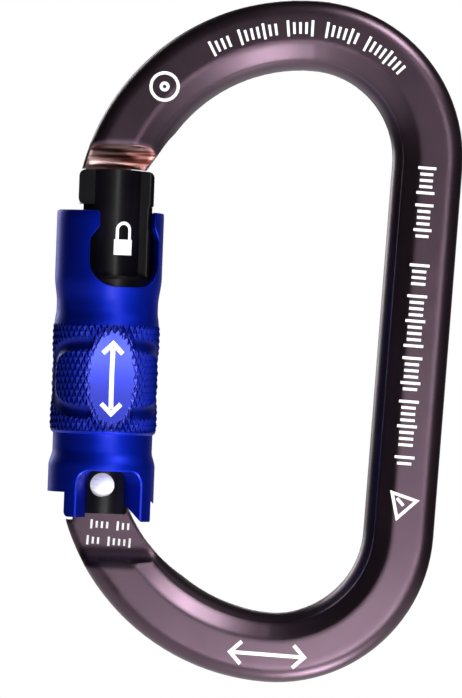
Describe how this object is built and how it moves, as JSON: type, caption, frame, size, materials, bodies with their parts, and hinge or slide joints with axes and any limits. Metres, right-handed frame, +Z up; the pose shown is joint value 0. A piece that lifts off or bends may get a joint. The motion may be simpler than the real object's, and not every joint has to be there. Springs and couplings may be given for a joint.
{
  "type": "locking carabiner",
  "caption": "Oval locking carabiner with an inward-swinging keylock gate and a spring-loaded knurled sleeve that lifts and turns around the gate.",
  "frame": {"origin": "inner apex of the upper bow, in the middle of the bar's thickness, where a rope or sling bears", "axes": "+Z up along the spine, +X from the gate towards the spine, +Y through the object to its back"},
  "size_m": [0.0647, 0.0174, 0.1102],
  "materials": {
    "body_anodised": "satin plum-grey anodised aluminium",
    "gate_black": "satin black anodised aluminium",
    "sleeve_blue": "bright blue anodised aluminium, turned and knurled",
    "steel": "polished stainless steel",
    "spring_steel": "drawn stainless spring wire",
    "bronze": "machined bronze",
    "print_white": "white laser-marked print"
  },
  "bodies": {
    "body": {"body_frame": "body_anodised"},
    "gate": {"gate_arm": "gate_black", "hinge_rivet": "steel", "gate_spring": "spring_steel", "guide_pin": "steel", "spring_seat": "steel", "sleeve_spring": "spring_steel"},
    "plunger": {"gate_plunger": "steel"},
    "washer": {"thrust_washer": "steel"},
    "sleeve": {"lock_sleeve": "sleeve_blue", "track_bush": "bronze"}
  },
  "joints": [
    {"name": "gate_swing", "type": "hinge", "parent": "body", "child": "gate", "pos_m": [-0.0286, 0, -0.06929], "axis": [0, 1, 0], "range_deg": [0, 25], "stiffness_Nm_per_rad": 0.3, "springref_deg": -8.59},
    {"name": "plunger_slide", "type": "slide", "parent": "gate", "child": "plunger", "axis": [-0.0419, 0, 0.9991], "range_m": [0, 0.00101], "deforming": ["gate_spring"]},
    {"name": "sleeve_lift", "type": "slide", "parent": "gate", "child": "washer", "axis": [-0.0419, 0, 0.9991], "range_m": [0, 0.0022], "stiffness_N_per_m": 600, "springref_m": -0.004, "deforming": ["sleeve_spring"]},
    {"name": "sleeve_turn", "type": "hinge", "parent": "washer", "child": "sleeve", "pos_m": [-0.0289, 0, -0.0693], "axis": [0.0419, 0, -0.9991], "range_deg": [0, 110], "stiffness_Nm_per_rad": 0.02, "springref_deg": -17.19}
  ],
  "couplings": [
    {"joint": "plunger_slide", "follows": "gate_swing", "m_per_rad": 0.0022918}
  ]
}
